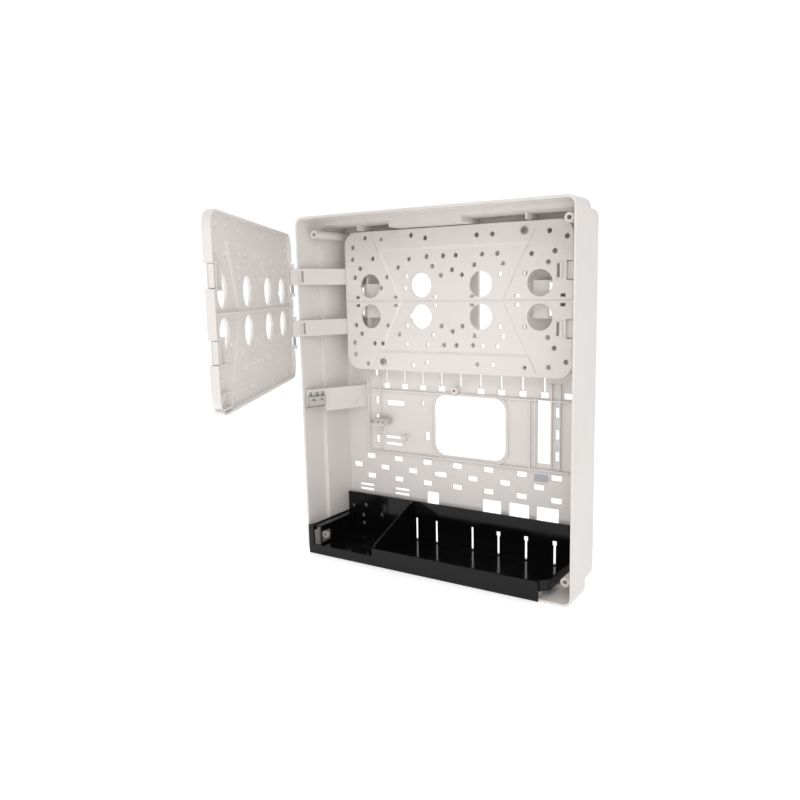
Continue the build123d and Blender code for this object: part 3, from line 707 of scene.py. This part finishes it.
class ENCLOSURE_OT_stage(bpy.types.Operator):
    """Lays the pale floor, hangs the soft lights and stands the camera in front"""

    bl_idname = "enclosure.stage"
    bl_label = "Set Up Stage"

    def softbox(self, name, position, target, size, power, colour):
        light = bpy.data.lights.new(name, "AREA")
        light.shape, light.size, light.size_y = "RECTANGLE", size[0], size[1]
        light.energy, light.color = power, colour
        lamp = bpy.data.objects.new(name, light)
        lamp.location = position
        lamp.rotation_euler = (Vector(target) - Vector(position)).to_track_quat("-Z", "Y").to_euler()
        bpy.context.scene.collection.objects.link(lamp)

    def execute(self, context):
        scene, stage = context.scene, context.scene.stage_settings
        bpy.ops.object.select_all(action="DESELECT")
        bpy.ops.mesh.primitive_plane_add(size=1.0, location=(0, 0, 0))
        floor = context.active_object
        floor.name = "studio_floor"
        floor.scale = (FLOOR_SIDE, FLOOR_SIDE, 1.0)
        settle(floor)
        give(floor, floor_paper())

        world = bpy.data.worlds.new("studio")
        scene.world = world
        world.use_nodes = True
        tree = world.node_tree
        backdrop = tree.nodes["Background"]
        backdrop.inputs["Color"].default_value = (1.0, 1.0, 1.0, 1.0)
        heading = tree.nodes.new("ShaderNodeVectorMath")
        heading.operation = "DOT_PRODUCT"
        heading.inputs[1].default_value = (-math.sin(stage.turn), math.cos(stage.turn), 0.0)
        tree.links.new(tree.nodes.new("ShaderNodeTexCoord").outputs["Generated"], heading.inputs[0])
        fade = tree.nodes.new("ShaderNodeMapRange")
        tree.links.new(heading.outputs["Value"], fade.inputs["Value"])
        for key, number in (("From Min", 0.0), ("From Max", stage.room_blend),
                            ("To Min", stage.room_front), ("To Max", stage.room)):
            fade.inputs[key].default_value = number
        tree.links.new(fade.outputs["Result"], backdrop.inputs["Strength"])

        for name, position, size, power, colour in (
            ("key", (0.35, -1.55, 1.65), (1.3, 1.0), stage.key, (1.0, 0.985, 0.975)),
            ("fill_left", (-1.6, -0.7, 1.1), (1.2, 1.2), stage.fill_left, (1.0, 0.99, 0.99)),
            ("fill_right", (1.35, -1.45, 0.8), (1.2, 1.2), stage.fill, (1.0, 0.99, 0.985)),
            ("overhead", (0.0, 0.15, 1.7), (1.6, 1.2), stage.overhead, (1.0, 1.0, 1.0)),
        ):
            self.softbox(name, position, LIGHT_AIM, size, power, colour)

        lens = bpy.data.cameras.new("camera")
        lens.lens, lens.sensor_width = stage.lens, 36.0
        lens.shift_x, lens.shift_y = stage.shift
        lens.clip_start, lens.clip_end = 0.01, 60.0
        camera = bpy.data.objects.new("camera", lens)
        scene.collection.objects.link(camera)
        ahead = Vector((-math.sin(stage.turn) * math.cos(stage.tilt),
                        math.cos(stage.turn) * math.cos(stage.tilt), -math.sin(stage.tilt)))
        level = Vector((math.cos(stage.turn), math.sin(stage.turn), 0.0))
        rise = level.cross(ahead)
        side = level * math.cos(stage.roll) + rise * math.sin(stage.roll)
        over = rise * math.cos(stage.roll) - level * math.sin(stage.roll)
        turn = Matrix((side, over, -ahead)).transposed().to_4x4()
        camera.matrix_world = Matrix.Translation(Vector(stage.stand)) @ turn
        scene.camera = camera
        scene.view_settings.view_transform = "Standard"
        return {"FINISHED"}


class ENCLOSURE_PT_panel(bpy.types.Panel):
    """Lists the enclosure's steps in the sidebar"""

    bl_label = "Wall Enclosure"
    bl_idname = "ENCLOSURE_PT_panel"
    bl_space_type = "VIEW_3D"
    bl_region_type = "UI"
    bl_category = "Enclosure"

    def draw(self, context):
        column = self.layout.column(align=True)
        for operator in OPERATORS:
            column.operator(operator.bl_idname)
        for name in SETTINGS:
            group = getattr(context.scene, name)
            box = self.layout.box()
            for key in group.bl_rna.properties.keys():
                if key not in ("rna_type", "name"):
                    box.prop(group, key)


OPERATORS = (
    ENCLOSURE_OT_finish_mouldings,
    ENCLOSURE_OT_finish_tray,
    ENCLOSURE_OT_plate_screws,
    ENCLOSURE_OT_hinge_pins,
    ENCLOSURE_OT_blank_label,
    ENCLOSURE_OT_tamper_switches,
    ENCLOSURE_OT_stage,
)
SETTINGS = {
    "moulding_finish": MouldingFinish,
    "tray_finish": TrayFinish,
    "hardware_sizes": HardwareSizes,
    "switch_sizes": SwitchSizes,
    "stage_settings": StageSettings,
}


def register():
    for group in SETTINGS.values():
        bpy.utils.register_class(group)
    for name, group in SETTINGS.items():
        setattr(bpy.types.Scene, name, PointerProperty(type=group))
    for operator in OPERATORS:
        bpy.utils.register_class(operator)
    bpy.utils.register_class(ENCLOSURE_PT_panel)


def unregister():
    bpy.utils.unregister_class(ENCLOSURE_PT_panel)
    for operator in reversed(OPERATORS):
        bpy.utils.unregister_class(operator)
    for name, group in SETTINGS.items():
        delattr(bpy.types.Scene, name)
        bpy.utils.unregister_class(group)


def main():
    register()
    bpy.ops.enclosure.finish_mouldings()
    bpy.ops.enclosure.finish_tray()
    bpy.ops.enclosure.plate_screws()
    bpy.ops.enclosure.hinge_pins()
    bpy.ops.enclosure.blank_label()
    bpy.ops.enclosure.tamper_switches()
    bpy.ops.enclosure.stage()


if __name__ == "__main__":
    main()
